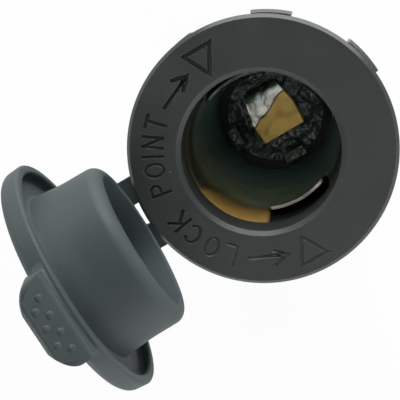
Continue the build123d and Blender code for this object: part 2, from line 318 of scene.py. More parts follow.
finishLooks = {
    "bodyPlastic": {
        # the light edge colour here is partly a painted highlight on the rims and the engraved edges
        "dark": (0.021, 0.0255, 0.0245), "light": (0.029, 0.0345, 0.0335), "rubAndHighlight": (0.1, 0.11, 0.108),
        "roughness": (0.44, 0.53), "ior": 1.46, "grainScale": 7000.0, "blotchScale": 160.0,
        "rubWidth": 0.00022, "rubBreakup": 1300.0, "bump": 0.35, "bumpDistance": 0.00003,
        "dust": 0.5, "dustColour": (0.42, 0.42, 0.4),
        # the groove colour below is painted shade in the engraved marks
        "grooveShadeColour": (0.013, 0.016, 0.016), "sunkFrom": 0.01155, "sunkTo": 0.0172,
        "faceZ": 0.0024, "sunkZ": 0.00215,
        "rimFrom": 0.0176, "rimTo": 0.0178, "rimRoughness": 0.27, "rimGrain": 0.2,
    },
    "nutPlastic": {
        "dark": (0.019, 0.022, 0.021), "light": (0.028, 0.032, 0.031), "rubAndHighlight": (0.07, 0.075, 0.074),
        "roughness": (0.26, 0.36), "ior": 1.5, "grainScale": 5200.0, "blotchScale": 190.0,
        "rubWidth": 0.0003, "rubBreakup": 1100.0, "bump": 0.25, "bumpDistance": 0.00003,
        "dust": 0.15, "dustColour": (0.42, 0.42, 0.4),
    },
    "capRubber": {
        "dark": (0.033, 0.046, 0.047), "light": (0.044, 0.059, 0.06), "rubAndHighlight": (0.08, 0.096, 0.097),
        "roughness": (0.58, 0.7), "ior": 1.48, "grainScale": 3800.0, "blotchScale": 120.0,
        "rubWidth": 0.0003, "rubBreakup": 700.0, "bump": 0.22, "bumpDistance": 0.00004,
        "dust": 0.1, "dustColour": (0.4, 0.42, 0.41),
    },
    "fibreBoard": {
        "dark": (0.022, 0.017, 0.013), "light": (0.036, 0.028, 0.021), "rubAndHighlight": (0.06, 0.05, 0.04),
        "roughness": (0.55, 0.7), "ior": 1.5, "grainScale": 5000.0, "blotchScale": 420.0,
        "rubWidth": 0.0002, "rubBreakup": 1500.0, "bump": 0.3, "bumpDistance": 0.00003,
        "dust": 0.1, "dustColour": (0.3, 0.28, 0.25),
    },
}
metalLooks = {
    "sleeveBrass": {
        "dark": (0.8, 0.53, 0.17), "light": (0.9, 0.62, 0.22), "stain": (0.6, 0.37, 0.12), "stainShare": 0.4,
        "roughness": (0.74, 0.82), "stainRoughness": 0.06,
        "around": 40.0, "along": 120.0, "stainScale": 320.0,
        "bump": 0.12, "bumpDistance": 0.00002,
        # the depth, side and top entries paint shade down the bore and on the wall away from the lit side
        "unshadedZ": -0.0105, "deepZ": -0.016, "paintedShadeColour": (0.46, 0.68, 0.66), "deepMetal": 0.45,
        "deepRoughness": 0.3, "topShadeColour": (0.07, 0.1, 0.096), "topReach": (-0.009, -0.015),
        "lump": 0.5, "lumpScale": 240.0, "lumpHeight": 0.0008, "lumpDetail": 2.0,
        "litAzimuth": 220.0, "litReach": (0.0085, 0.0105), "shadeRise": 0.009,
        # the reach and lip entries paint a highlight on the lit side's edges and on the near catch's lip
        "litSideReach": (-0.002, 0.003),
        "lipHalf": 0.00485, "lipFoot": (-0.00966, -0.00961), "lipTop": (-0.0093, -0.0094),
        "rubAndHighlight": (0.88, 0.85, 0.74), "rubWidth": 0.00018, "rubBreakup": 900.0, "rubRoughness": 0.3,
    },
    "leafBrass": {
        "dark": (0.54, 0.365, 0.105), "light": (0.64, 0.435, 0.145),
        "stain": (0.48, 0.31, 0.08), "stainShare": 0.25,
        "roughness": (0.36, 0.44), "stainRoughness": 0.06, "around": 4.0, "along": 900.0, "stainScale": 500.0,
        "bump": 0.1, "bumpDistance": 0.00002,
    },
    "clipNickel": {
        "dark": (0.55, 0.54, 0.5), "light": (0.7, 0.69, 0.65),
        "stain": (0.36, 0.34, 0.29), "stainShare": 0.5,
        "roughness": (0.18, 0.28), "stainRoughness": 0.1, "around": 20.0, "along": 700.0, "stainScale": 600.0,
        "bump": 0.12, "bumpDistance": 0.00002,
        # the depth entries paint shade on the clip's floor at the bottom of the bore
        "unshadedZ": -0.0425, "deepZ": -0.0448, "paintedShadeColour": (0.05, 0.072, 0.068), "deepMetal": 0.1,
        "rubAndHighlight": (0.88, 0.87, 0.82), "rubWidth": 0.0002, "rubBreakup": 700.0, "rubRoughness": 0.22,
        "lump": 0.8, "lumpScale": 320.0, "lumpHeight": 0.0012, "lumpDetail": 2.0,
    },
    "studSteel": {
        "dark": (0.3, 0.305, 0.31), "light": (0.42, 0.425, 0.43),
        "stain": (0.24, 0.23, 0.2), "stainShare": 0.35,
        "roughness": (0.28, 0.4), "stainRoughness": 0.1, "around": 30.0, "along": 900.0, "stainScale": 800.0,
        "bump": 0.1, "bumpDistance": 0.00002,
    },
    "tinnedBlade": {
        "dark": (0.3, 0.297, 0.288), "light": (0.4, 0.397, 0.385),
        "stain": (0.23, 0.22, 0.19), "stainShare": 0.4,
        "roughness": (0.3, 0.42), "stainRoughness": 0.12, "around": 6.0, "along": 260.0, "stainScale": 500.0,
        "bump": 0.12, "bumpDistance": 0.00002,
    },
}
finishes = {name: mouldedFinish(name, look) for name, look in finishLooks.items()}
finishes.update({name: metalFinish(name, look) for name, look in metalLooks.items()})
print("finishes ready:", len(finishes))


# mesh helpers

def newPiece(name, mesh):
    piece = bpy.data.objects.new(name, mesh)
    scene.collection.objects.link(piece)
    return piece


def settle(piece):  # the piece's evaluated shape becomes its plain mesh
    bpy.context.view_layer.update()
    graph = bpy.context.evaluated_depsgraph_get()
    mesh = bpy.data.meshes.new_from_object(piece.evaluated_get(graph), depsgraph=graph)
    piece.modifiers.clear()
    piece.data = mesh
    mesh.name = piece.name
    return mesh


def runTree(piece, tree, values):
    modifier = piece.modifiers.new(tree.name, "NODES")
    modifier.node_group = tree
    for item in tree.interface.items_tree:
        if item.item_type == "SOCKET" and item.in_out == "INPUT" and item.name in values:
            modifier[item.identifier] = values[item.name]
    return settle(piece)


def smoothShade(mesh, angle=35):
    mesh.shade_smooth()
    mesh.set_sharp_from_angle(angle=math.radians(angle))


def oneFinish(mesh, finish):
    mesh.materials.clear()
    mesh.materials.append(finish)


def roundedLoop(corners, steps=7, flatRun=0.04):  # closed outline from (radius, height, round) corners in mm
    loop = []
    for i, (r, z, bend) in enumerate(corners):
        here = Vector((r, z))
        if bend == 0:
            loop.append(here)
            continue
        back = (Vector(corners[i - 1][:2]) - here).normalized()
        ahead = (Vector(corners[(i + 1) % len(corners)][:2]) - here).normalized()
        half = back.angle(ahead) / 2
        centre = here + (back + ahead).normalized() * (bend / math.sin(half))
        first, last = here + back * (bend / math.tan(half)), here + ahead * (bend / math.tan(half))
        start = math.atan2(first.y - centre.y, first.x - centre.x)
        sweep = math.remainder(math.atan2(last.y - centre.y, last.x - centre.x) - start, 2 * math.pi)
        loop.append(first + back * flatRun)  # keeps the flat beside the round flat in shading
        for k in range(steps + 1):
            a = start + sweep * k / steps
            loop.append(centre + Vector((math.cos(a), math.sin(a))) * bend)
        loop.append(last + ahead * flatRun)
    return loop


def latheMesh(name, loop, segments):
    build = bmesh.new()
    rings = []
    for i in range(segments):
        a = 2 * math.pi * i / segments
        x, y = math.cos(a) * mm, math.sin(a) * mm
        rings.append([build.verts.new((p.x * x, p.x * y, p.y * mm)) for p in loop])
    for i, ring in enumerate(rings):
        following = rings[(i + 1) % segments]
        for j in range(len(loop)):
            k = (j + 1) % len(loop)
            build.faces.new((ring[j], ring[k], following[k], following[j]))
    bmesh.ops.recalc_face_normals(build, faces=build.faces)
    mesh = bpy.data.meshes.new(name)
    build.to_mesh(mesh)
    build.free()
    return mesh


def cadCopy(name, node):  # merged copy of a CAD node's mesh
    build = bmesh.new()
    build.from_mesh(nodes[node].data)
    bmesh.ops.remove_doubles(build, verts=build.verts, dist=mergeDistance)
    mesh = bpy.data.meshes.new(name)
    build.to_mesh(mesh)
    build.free()
    return mesh


def column(r, zHigh, zLow, step):  # rows of an outline down a straight wall
    count = max(1, round((zHigh - zLow) / step))
    return [(r, zHigh + (zLow - zHigh) * k / count, 0) for k in range(count + 1)]


def paintWhole(tree, shape, finish):  # every geometry tree ends like this
    whole = addNode(tree, "GeometryNodeRealizeInstances", {0: shape.outputs[0]})
    painted = addNode(tree, "GeometryNodeSetMaterial", {"Geometry": whole.outputs[0], "Material": finish})
    return painted.outputs[0]


# thread rule: vertices between two radii move in along a right-hand helix

def makeThreadTree():
    sizes = ("Pitch", "Depth", "High", "Low", "Runout",
             "Inner radius", "Outer radius", "Flank start", "Flank end")
    inputs = [("Geometry", "NodeSocketGeometry", None), *((size, "NodeSocketFloat", 0.0) for size in sizes),
              ("Finish", "NodeSocketMaterial", None)]
    outputs = [("Geometry", "NodeSocketGeometry")]
    tree, given, result = newTree("cutThread", "GeometryNodeTree", inputs, outputs)
    axes = splitAxes(tree, tree.nodes.new("GeometryNodeInputPosition").outputs[0])
    x, y, z = axes["X"], axes["Y"], axes["Z"]
    radius = axisDistance(tree, x, y)
    turn = calc(tree, "DIVIDE", calc(tree, "ARCTAN2", y, x), 2 * math.pi)
    phase = calc(tree, "FRACT", calc(tree, "SUBTRACT", calc(tree, "DIVIDE", z, given["Pitch"]), turn))
    wave = calc(tree, "MULTIPLY", calc(tree, "ABSOLUTE", calc(tree, "SUBTRACT", phase, 0.5)), 2.0)
    groove = ramp(tree, wave, given["Flank start"], given["Flank end"])
    fadeHigh = ramp(tree, z, given["High"], calc(tree, "SUBTRACT", given["High"], given["Runout"]))
    fadeLow = ramp(tree, z, given["Low"], calc(tree, "ADD", given["Low"], given["Runout"]))
    share = calc(tree, "MULTIPLY", groove, calc(tree, "MULTIPLY", fadeHigh, fadeLow))
    cutDepth = calc(tree, "MULTIPLY", share, given["Depth"])
    scaleIn = calc(tree, "SUBTRACT", 1.0, calc(tree, "DIVIDE", cutDepth, radius))
    moved = addNode(tree, "ShaderNodeCombineXYZ", {
        "X": calc(tree, "MULTIPLY", x, scaleIn), "Y": calc(tree, "MULTIPLY", y, scaleIn), "Z": z})
    inBand = calc(tree, "MULTIPLY", calc(tree, "GREATER_THAN", radius, given["Inner radius"]),
                  calc(tree, "LESS_THAN", radius, given["Outer radius"]))
    cut = addNode(tree, "GeometryNodeSetPosition", {
        "Geometry": given["Geometry"], "Selection": inBand, "Position": moved.outputs[0]})
    feed(tree, result["Geometry"], paintWhole(tree, cut, given["Finish"]))
    return tree


# grip bumps: two rows of low domes

bumpGrid = {"rows": (4, 3), "segments": 20, "rings": 12}


def makeBumpTree(grid):
    inputs = [("Geometry", "NodeSocketGeometry", None), ("Pitch", "NodeSocketFloat", 0.002),
              ("Row gap", "NodeSocketFloat", 0.001), ("Radius", "NodeSocketFloat", 0.0005),
              ("Flatness", "NodeSocketFloat", 0.6), ("Finish", "NodeSocketMaterial", None)]
    outputs = [("Geometry", "NodeSocketGeometry")]
    tree, given, result = newTree("gripBumps", "GeometryNodeTree", inputs, outputs)

    def row(count, height):
        start = addNode(tree, "ShaderNodeCombineXYZ", {
            "X": calc(tree, "MULTIPLY", given["Pitch"], (1 - count) / 2), "Y": height})
        step = addNode(tree, "ShaderNodeCombineXYZ", {"X": given["Pitch"]})
        return addNode(tree, "GeometryNodeMeshLine", {
            "Count": count, "Start Location": start.outputs[0], "Offset": step.outputs[0]}).outputs[0]

    rows = addNode(tree, "GeometryNodeJoinGeometry")
    for count, height in zip(grid["rows"], (0.0, given["Row gap"])):
        tree.links.new(row(count, height), rows.inputs[0])
    dome = addNode(tree, "GeometryNodeMeshUVSphere", {
        "Segments": grid["segments"], "Rings": grid["rings"], "Radius": given["Radius"]})
    squat = addNode(tree, "ShaderNodeCombineXYZ", {"X": 1.0, "Y": 1.0, "Z": given["Flatness"]})
    spread = addNode(tree, "GeometryNodeInstanceOnPoints", {
        "Points": rows.outputs[0], "Instance": dome.outputs[0], "Scale": squat.outputs[0]})
    feed(tree, result["Geometry"], paintWhole(tree, spread, given["Finish"]))
    return tree


threadTree = makeThreadTree()
bumpTree = makeBumpTree(bumpGrid)
print("geometry trees ready")


# moulded body: flange, mouth and threaded barrel, with the engraved marks

bodyShape = {
    "flangeRadius": 18.25, "faceHeight": 2.5, "mouthRadius": 10.8, "mouthChamfer": 0.6, "frontChamfer": 0.5,
    "backRound": 0.3, "edgeRound": 0.08, "shoulderHeight": -3.0, "boreRadius": 11.6,
    "barrelEnd": -50.5, "barrelRadius": 13.2, "threadRadius": 14.0, "threadEnd": -22.0, "threadChamfer": 0.6,
    "segments": 240, "rowStep": 0.125,
}
bodyThread = {"Pitch": 2.0 * mm, "Depth": 0.62 * mm, "High": -1.3 * mm, "Low": -21.9 * mm, "Runout": 0.9 * mm,
              "Inner radius": 13.9 * mm, "Outer radius": 14.1 * mm, "Flank start": 0.34, "Flank end": 0.7}
markShape = {
    "stroke": 0.5, "signStroke": 0.58, "signDepth": 0.36, "lowerDepth": 0.14, "wallSlope": 0.14, "clear": 0.2,
    "step": 0.015,  # crossing strokes differ a little in depth, so that no two floors lie in one plane
    "baseRadius": 13.28, "letterHeight": 2.62,
    "legend": (  # letter, angle on the flange, depth of the worn engraving
        ("L", 223.5, 0.14), ("O", 212.3, 0.17), ("C", 200.6, 0.24), ("K", 190.3, 0.32),
        ("P", 170.1, 0.26), ("O", 159.2, 0.22), ("I", 151.8, 0.25), ("N", 144.0, 0.27), ("T", 133.6, 0.3)),
    "shaft": ((-7.9, 11.75), (-3.6, 13.55)), "head": ((-5.15, 14.28), (-3.2, 13.8), (-4.5, 12.45)),
    "triangle": ((-2.22, 16.12), (1.7, 16.03), (-0.4, 12.5)),
    "lowerShift": (-0.6, -0.1),
}


def arcPoints(centreX, centreY, radiusX, radiusY, fromAngle, toAngle, count):
    points = []
    for k in range(count + 1):
        a = math.radians(fromAngle + (toAngle - fromAngle) * k / count)
        points.append((centreX + radiusX * math.cos(a), centreY + radiusY * math.sin(a)))
    return points


letterStrokes = {  # plain capitals on a unit height
    "L": (0.5, [[(0, 1), (0, 0)], [(0, 0), (0.5, 0)]]),
    "O": (0.66, [arcPoints(0.33, 0.5, 0.33, 0.5, 0, 360, 28)]),
    "C": (0.6, [arcPoints(0.34, 0.5, 0.34, 0.5, 48, 312, 22)]),
    "K": (0.56, [[(0, 0), (0, 1)], [(0.56, 1), (0.02, 0.4)], [(0.2, 0.6), (0.58, 0)]]),
    "P": (0.5, [
        [(0, 0), (0, 1)],
        [(0, 1), (0.26, 1), *arcPoints(0.26, 0.74, 0.26, 0.26, 80, -80, 12), (0.26, 0.48), (0, 0.48)]]),
    "I": (0.0, [[(0, 0), (0, 1)]]),
    "N": (0.52, [[(0, 0), (0, 1)], [(0, 1), (0.52, 0)], [(0.52, 0), (0.52, 1)]]),
    "T": (0.6, [[(0, 1), (0.6, 1)], [(0.3, 1), (0.3, 0)]]),
}


def legendStrokes(shape):
    strokes = []
    for letter, angle, depth in shape["legend"]:
        width, lines = letterStrokes[letter]
        a = math.radians(angle)
        out, along = Vector((math.cos(a), math.sin(a))), Vector((math.sin(a), -math.cos(a)))
        base, tall = shape["baseRadius"], shape["letterHeight"]
        for k, line in enumerate(lines):
            points = [out * (base + v * tall) + along * (u - width / 2) * tall for u, v in line]
            strokes.append((points, depth + k * shape["step"]))
    return strokes


def signStrokes(shape):  # an arrow and a triangle
    lines = shape["shaft"], shape["head"], (*shape["triangle"], shape["triangle"][0])
    return [(line, shape["signDepth"] + k * shape["step"]) for k, line in enumerate(lines)]


def mirrorStrokes(strokes, shape):  # the same signs, worn fainter, on the other side of the strap
    right, up = shape["lowerShift"]
    shallow = shape["lowerDepth"] - shape["signDepth"]
    return [([(x + right, up - y) for x, y in line], depth + shallow) for line, depth in strokes]


def addChannel(build, points, width, depth, shape):  # a groove's cutter: mitred corners and sloping walls
    ring = (points[0] - points[-1]).length < samePoint
    if ring:
        points = points[:-1]
    else:  # ends run on by half a stroke, so corners fill
        first, last = (points[0] - points[1]).normalized(), (points[-1] - points[-2]).normalized()
        points = [points[0] + first * width / 2, *points[1:-1], points[-1] + last * width / 2]
    count, rows = len(points), []
    slope = shape["wallSlope"] / depth  # how much each wall leans in for its depth
    for i, point in enumerate(points):
        ahead = (points[(i + 1) % count] - point) if ring or i < count - 1 else (point - points[i - 1])
        back = (point - points[i - 1]) if ring or i > 0 else ahead
        sides = [Vector((-d.y, d.x)).normalized() for d in (back, ahead)]
        middle = (sides[0] + sides[1]).normalized()
        mitre = middle / middle.dot(sides[0])
        row = []
        for side, z in ((1, shape["clear"]), (1, -depth), (-1, -depth), (-1, shape["clear"])):
            place = point + mitre * side * (width / 2 + slope * z)
            row.append(build.verts.new((place.x * mm, place.y * mm, (bodyShape["faceHeight"] + z) * mm)))
        rows.append(row)
    for a, b in zip(rows, rows[1:] + (rows[:1] if ring else [])):
        for j in range(4):
            build.faces.new((a[j], a[(j + 1) % 4], b[(j + 1) % 4], b[j]))
    if not ring:
        build.faces.new(rows[0])
        build.faces.new(list(reversed(rows[-1])))


def strokeCutter(name, strokes, width, shape):
    build = bmesh.new()
    for line, depth in strokes:
        addChannel(build, [Vector(point) for point in line], width, depth, shape)
    bmesh.ops.recalc_face_normals(build, faces=build.faces)
    mesh = bpy.data.meshes.new(name)
    build.to_mesh(mesh)
    build.free()
    return newPiece(name, mesh)


def engrave(piece, cutter):
    cut = piece.modifiers.new("engrave", "BOOLEAN")
    cut.operation, cut.solver, cut.use_self = "DIFFERENCE", "EXACT", True
    cut.object = cutter
    mesh = settle(piece)
    bpy.data.objects.remove(cutter)
    return mesh


def makeBody(shape):
    threadTop = column(shape["threadRadius"], 0.0, shape["threadEnd"], shape["rowStep"])
    corners = [
        (shape["mouthRadius"], shape["faceHeight"] - shape["mouthChamfer"], shape["edgeRound"]),
        (shape["mouthRadius"] + shape["mouthChamfer"], shape["faceHeight"], shape["edgeRound"]),
        (shape["flangeRadius"] - shape["frontChamfer"], shape["faceHeight"], shape["edgeRound"]),
        (shape["flangeRadius"], shape["faceHeight"] - shape["frontChamfer"], shape["edgeRound"]),
        (shape["flangeRadius"], 0.0, shape["backRound"]),
        *threadTop,
        (shape["barrelRadius"], shape["threadEnd"] - shape["threadChamfer"], 0),
        (shape["barrelRadius"], shape["barrelEnd"], 0),
        (shape["boreRadius"], shape["barrelEnd"], 0),
        (shape["boreRadius"], shape["shoulderHeight"], 0),
        (shape["mouthRadius"], shape["shoulderHeight"], 0),
    ]
    body = newPiece("socket_moulding", latheMesh("socket_moulding", roundedLoop(corners), shape["segments"]))
    runTree(body, threadTree, {**bodyThread, "Finish": finishes["bodyPlastic"]})
    signs = signStrokes(markShape)
    for name, strokes, width in (("legendCutter", legendStrokes(markShape), markShape["stroke"]),
                                 ("signCutter", signs, markShape["signStroke"]),
                                 ("lowerCutter", mirrorStrokes(signs, markShape), markShape["signStroke"])):
        engrave(body, strokeCutter(name, strokes, width, markShape))
    smoothShade(body.data)
    oneFinish(body.data, finishes["bodyPlastic"])
    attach(body, "socket")
    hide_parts("socket_body")
    return body


makeBody(bodyShape)
print("body moulded and engraved")


# lock nut's own thread, inside the CAD nut's bore

nutThreadShape = {"boreRadius": 14.1, "wall": 0.15, "high": -5.9, "low": -11.7, "rowStep": 0.125,
                  "segments": 180}
nutThread = {**bodyThread, "Depth": 0.42 * mm, "High": -5.9 * mm, "Low": -11.7 * mm, "Runout": 0.5 * mm,
             "Inner radius": 14.0 * mm, "Outer radius": 14.15 * mm, "Flank start": 0.62, "Flank end": 0.9}


def makeNutThread(shape):
    inside = column(shape["boreRadius"], shape["high"], shape["low"], shape["rowStep"])
    outer = shape["boreRadius"] + shape["wall"]
    corners = [*inside, (outer, shape["low"], 0), (outer, shape["high"], 0)]
    ring = newPiece("nut_thread", latheMesh("nut_thread", roundedLoop(corners), shape["segments"]))
    runTree(ring, threadTree, {**nutThread, "Finish": finishes["nutPlastic"]})
    smoothShade(ring.data)
    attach(ring, "nut")


makeNutThread(nutThreadShape)

# centre stud with its rolled thread

studShape = {"radius": 2.0, "headRadius": 3.0, "headHigh": -45.1, "headLow": -46.1, "headRound": 0.25,
             "threadHigh": -53.2, "end": -59.2, "endChamfer": 0.4, "rowStep": 0.05, "segments": 72,
             "core": 0.02}  # a hair of a hole keeps the turned grid closed
studThread = {"Pitch": 0.7 * mm, "Depth": 0.26 * mm, "High": -53.2 * mm, "Low": -59.0 * mm,
              "Runout": 0.2 * mm, "Inner radius": 1.55 * mm, "Outer radius": 2.05 * mm,
              "Flank start": 0.2, "Flank end": 0.85}


def makeStud(shape):
    corners = [
        (shape["core"], shape["headHigh"], 0),
        (shape["headRadius"], shape["headHigh"], shape["headRound"]),
        (shape["headRadius"], shape["headLow"], 0),
        (shape["radius"], shape["headLow"], 0),
        *column(shape["radius"], shape["threadHigh"], shape["end"] + shape["endChamfer"], shape["rowStep"]),
        (shape["radius"] - shape["endChamfer"], shape["end"], 0),
        (shape["core"], shape["end"], 0),
    ]
    stud = newPiece("threaded_stud", latheMesh("threaded_stud", roundedLoop(corners, 4), shape["segments"]))
    runTree(stud, threadTree, {**studThread, "Finish": finishes["studSteel"]})
    smoothShade(stud.data)
    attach(stud, "socket")
    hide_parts("centre_stud")


makeStud(studShape)
print("threads cut")


# strap's living hinge, bending between the seal ring and the cap

webShape = {"hingeX": -21.7, "hingeZ": -0.6, "half": 1.0, "open": 81.2, "thick": 0.7, "neck": 0.5,
            "width": 10.0, "middleY": 0.6, "overlap": 0.12, "steps": 28, "across": 10}


def makeWeb(shape):
    swing = math.radians(shape["open"])
    hinge = Vector((shape["hingeX"], shape["hingeZ"]))
    leave, arrive = Vector((-1.0, 0.0)), Vector((-math.sin(swing), math.cos(swing)))
    start, end = hinge - leave * shape["half"], hinge + arrive * shape["half"]
    pull = (end - start).length / 3
    control = [start, start + leave * pull, end - arrive * pull, end]
    path = [start - leave * shape["overlap"]]
    for k in range(shape["steps"] + 1):
        t = k / shape["steps"]
        weights = ((1 - t) ** 3, 3 * t * (1 - t) ** 2, 3 * t * t * (1 - t), t ** 3)
        path.append(sum((p * w for p, w in zip(control, weights)), Vector((0.0, 0.0))))
    path.append(end + arrive * shape["overlap"])
    build = bmesh.new()
    sections = []
    for k, point in enumerate(path):
        direction = (path[min(k + 1, len(path) - 1)] - path[max(k - 1, 0)]).normalized()
        normal = Vector((-direction.y, direction.x))
        t = max(0.0, min(1.0, (k - 1) / shape["steps"]))
        thick = shape["thick"] - (shape["thick"] - shape["neck"]) * math.sin(math.pi * t) ** 2
        section = []
        for side in (1, -1):
            for j in range(shape["across"] + 1):
                y = shape["middleY"] + side * shape["width"] * (j / shape["across"] - 0.5)
                p = point + normal * side * thick / 2
                section.append(build.verts.new((p.x * mm, y * mm, p.y * mm)))
        sections.append(section)
    count = len(sections[0])
    for a, b in zip(sections, sections[1:]):
        for j in range(count):
            build.faces.new((a[j], a[(j + 1) % count], b[(j + 1) % count], b[j]))
    build.faces.new(sections[0])
    build.faces.new(list(reversed(sections[-1])))
    bmesh.ops.recalc_face_normals(build, faces=build.faces)
    mesh = bpy.data.meshes.new("strap_web")
    build.to_mesh(mesh)
    build.free()
    oneFinish(mesh, finishes["capRubber"])
    smoothShade(mesh)
    web = newPiece("strap_web", mesh)
    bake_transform(web)
    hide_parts("hinge_web")


makeWeb(webShape)


# sealing cap: one smooth moulding, and the grip bumps on its thumb tab's sloping face

def makeCap():
    cap = newPiece("cap_moulding", cadCopy("cap_moulding", "sealing_cap"))
    smoothShade(cap.data)
    cap.modifiers.new("flatNormals", "WEIGHTED_NORMAL").keep_sharp = True
    settle(cap)
    oneFinish(cap.data, finishes["capRubber"])
    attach(cap, "cap")
    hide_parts("sealing_cap")


makeCap()

tabShape = {"heelX": 15.49, "heelZ": 3.5, "toeX": 16.94, "toeZ": 6.54, "firstRow": 1.45, "rowGap": 1.0,
            "pitch": 2.0, "radius": 0.45, "flatness": 0.55, "sunk": 0.1, "twist": -2.4}


def openCap(point, twist):  # a point of the shut cap, turned about its axis and swung open to rest
    pivot = Vector((webShape["hingeX"], 0, webShape["hingeZ"]))
    swing = Matrix.Rotation(math.radians(webShape["open"]), 3, Vector((0, -1, 0)))
    turned = Matrix.Rotation(math.radians(twist), 3, "Z") @ Vector(point)
    return pivot + swing @ (turned - pivot)


def makeGripBumps(shape):
    heel = openCap((shape["heelX"], 0, shape["heelZ"]), shape["twist"])
    along = (openCap((shape["heelX"], 1, shape["heelZ"]), shape["twist"]) - heel).normalized()
    up = (openCap((shape["toeX"], 0, shape["toeZ"]), shape["twist"]) - heel).normalized()
    out = along.cross(up)
    origin = heel + up * shape["firstRow"] - out * shape["sunk"]
    mesh = bpy.data.meshes.new("tab_bumps")
    bumps = newPiece("tab_bumps", mesh)
    runTree(bumps, bumpTree, {
        "Pitch": shape["pitch"] * mm, "Row gap": shape["rowGap"] * mm, "Radius": shape["radius"] * mm,
        "Flatness": shape["flatness"], "Finish": finishes["capRubber"]})
    place = Matrix((along, up, out)).transposed().to_4x4()
    place.translation = origin * mm
    bumps.data.transform(place)
    smoothShade(bumps.data)
    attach(bumps, "cap")


makeGripBumps(tabShape)
print("strap and grip made")


# centre contact: the sprung leaf, which flattens towards its root when a plug presses it

# a whitish patch on the leaf's bend, partly plating and partly a painted highlight
leafHighlightLook = {"light": (0.68, 0.69, 0.64), "dark": (0.42, 0.415, 0.37), "toneRange": (0.35, 0.65),
               "slope": -0.437, "offset": -0.00165, "edge": 0.00022, "roughness": 0.3,
               "ragged": 0.0022, "raggedScale": 420.0, "raggedDetail": 4.0,
               "lump": 0.8, "lumpScale": 750.0, "lumpHeight": 0.00025, "lumpDetail": 2.0}


def leafWithPaintedHighlight(name, base, look):  # brass leaf, with a whitish patch on its bend: a plating colour that also paints the bend's highlight
    finish = base.copy()
    finish.name = name
    tree = finish.node_tree
    shader = tree.nodes["Principled BSDF"]
    place = objectPlace(tree)
    axes = splitAxes(tree, place)
    ragged = noise(tree, place, look["raggedScale"], look["raggedDetail"])
    line = calc(tree, "ADD", axes["Y"], calc(tree, "MULTIPLY", axes["X"], look["slope"]))
    line = calc(tree, "ADD", line, look["offset"])
    stray = calc(tree, "MULTIPLY", calc(tree, "SUBTRACT", ragged, 0.5), look["ragged"])
    highlightPatch = ramp(tree, calc(tree, "ADD", line, stray), -look["edge"], look["edge"])
    highlightColour = mixColour(tree, ramp(tree, ragged, *look["toneRange"]), rgba(look["dark"]), rgba(look["light"]))
    colour, roughness = shader.inputs["Base Color"], shader.inputs["Roughness"]
    feed(tree, colour, mixColour(tree, highlightPatch, colour.links[0].from_socket, highlightColour))
    feed(tree, roughness, mixValue(tree, highlightPatch, roughness.links[0].from_socket, look["roughness"]))
    addLumps(tree, shader, place, look, highlightPatch)
    return finish


def makeLeaf():
    leaf = newPiece("contact_leaf", cadCopy("contact_leaf", "centre_contact"))
    smoothShade(leaf.data)
    leaf.modifiers.new("flatNormals", "WEIGHTED_NORMAL").keep_sharp = True
    settle(leaf)
    oneFinish(leaf.data, leafWithPaintedHighlight("leafWithPaintedHighlight", finishes["leafBrass"], leafHighlightLook))
    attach(leaf, "socket")
    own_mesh(leaf)
    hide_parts("centre_contact")


makeLeaf()


# stamped parts of the bore, with the sheared edges of the sheet eased

stampedEdge = {"flatAngle": 0.5, "sharpAngle": 40, "segments": 2}
stampedParts = {
    "brass_sleeve": {"node": "ground_sleeve", "finish": "sleeveBrass", "slot": "sleeve_brass", "ease": 0.12},
    "spring_clip": {"node": "contact_clip", "finish": "clipNickel", "slot": "clip_nickel", "ease": 0.17},
}


def makeStamped(name, look, edge):
    mesh = cadCopy(name, look["node"])
    build = bmesh.new()
    build.from_mesh(mesh)
    flat = math.radians(edge["flatAngle"])
    bmesh.ops.dissolve_limit(build, angle_limit=flat, verts=build.verts, edges=build.edges)
    build.to_mesh(mesh)
    build.free()
    smoothShade(mesh)
    piece = newPiece(name, mesh)
    ease = piece.modifiers.new("ease", "BEVEL")
    ease.limit_method, ease.angle_limit = "ANGLE", math.radians(edge["sharpAngle"])
    ease.width, ease.segments = look["ease"] * mm, edge["segments"]
    piece.modifiers.new("flatNormals", "WEIGHTED_NORMAL").keep_sharp = True
    settle(piece)
    oneFinish(piece.data, finishes[look["finish"]])
    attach(piece, "socket")
    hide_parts(look["node"])


for name, look in stampedParts.items():
    makeStamped(name, look, stampedEdge)
print("stamped parts eased:", len(stampedParts))


# CAD nodes that stay, each with its finish

nodeFinishes = {
    "insulator_disc": "fibreBoard", "positive_terminal": "tinnedBlade", "negative_terminal": "tinnedBlade",
    "spring_washer": "studSteel", "stud_nut": "studSteel", "negative_rivet": "leafBrass",
    "rear_cover": "bodyPlastic", "cap_ring": "capRubber",
    "panel_washer": "nutPlastic", "lock_nut": "nutPlastic",
}
for node, finish in nodeFinishes.items():
    oneFinish(nodes[node].data, finishes[finish])
print("finishes set on", len(nodeFinishes), "nodes")


# camera, floor and light

cameraView = {
    "place": (14.229, 11.661, 111.424), "right": (0.84721, -0.51531, -0.1292),
    "up": (0.48425, 0.84908, -0.2111), "back": (0.21848, 0.11628, 0.96889), "lens": 74.244, "sensor": 36.0,
    "near": 0.005, "far": 20.0,
}


def makeCamera(view):
    data = bpy.data.cameras.new("photoCamera")
    data.lens, data.sensor_width, data.sensor_fit = view["lens"], view["sensor"], "HORIZONTAL"
    data.clip_start, data.clip_end = view["near"], view["far"]
    camera = bpy.data.objects.new("photoCamera", data)
    scene.collection.objects.link(camera)
    turn = Matrix((view["right"], view["up"], view["back"])).transposed()
    camera.matrix_world = Matrix.Translation(Vector(view["place"]) * mm) @ turn.to_4x4()
    scene.camera = camera


